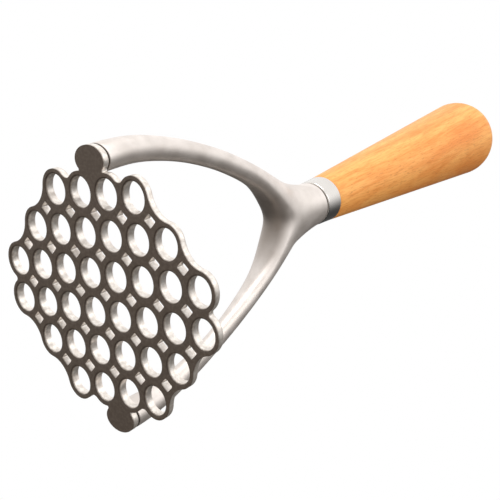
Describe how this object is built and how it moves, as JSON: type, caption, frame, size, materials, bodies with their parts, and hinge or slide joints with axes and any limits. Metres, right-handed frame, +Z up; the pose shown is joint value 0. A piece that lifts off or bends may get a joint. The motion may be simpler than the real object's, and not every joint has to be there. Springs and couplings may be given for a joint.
{
  "type": "potato masher",
  "caption": "Hand potato masher: flat cast plate with a grid of oval holes, cast wishbone yoke, metal ferrule and tapered round wooden handle.",
  "frame": {"origin": "middle of the flat mashing face, the face that meets the food, which is the lowest face of the tool stood on its plate", "axes": "+Z up along the handle; X along the rows of holes; the two arms of the yoke spread along Y"},
  "size_m": [0.084, 0.0914, 0.2772],
  "materials": {
    "cast_plate": "satin cast metal, darker flat mashing face, bright hole walls",
    "satin_yoke": "tumbled satin cast metal, warm light grey",
    "stud_steel": "plain drawn steel, hidden",
    "dark_washer": "matte dark fibre washer",
    "ferrule_steel": "polished steel with fine turning lines",
    "handle_wood": "satin lacquered beech, warm orange yellow",
    "insert_brass": "plain turned brass, hidden"
  },
  "bodies": {
    "root": {"mashing_plate": "cast_plate", "plate_studs": "stud_steel", "yoke": "satin_yoke", "seam_washer": "dark_washer", "ferrule": "ferrule_steel", "handle_grip": "handle_wood", "tang_rod": "stud_steel", "handle_insert": "insert_brass"}
  },
  "joints": []
}
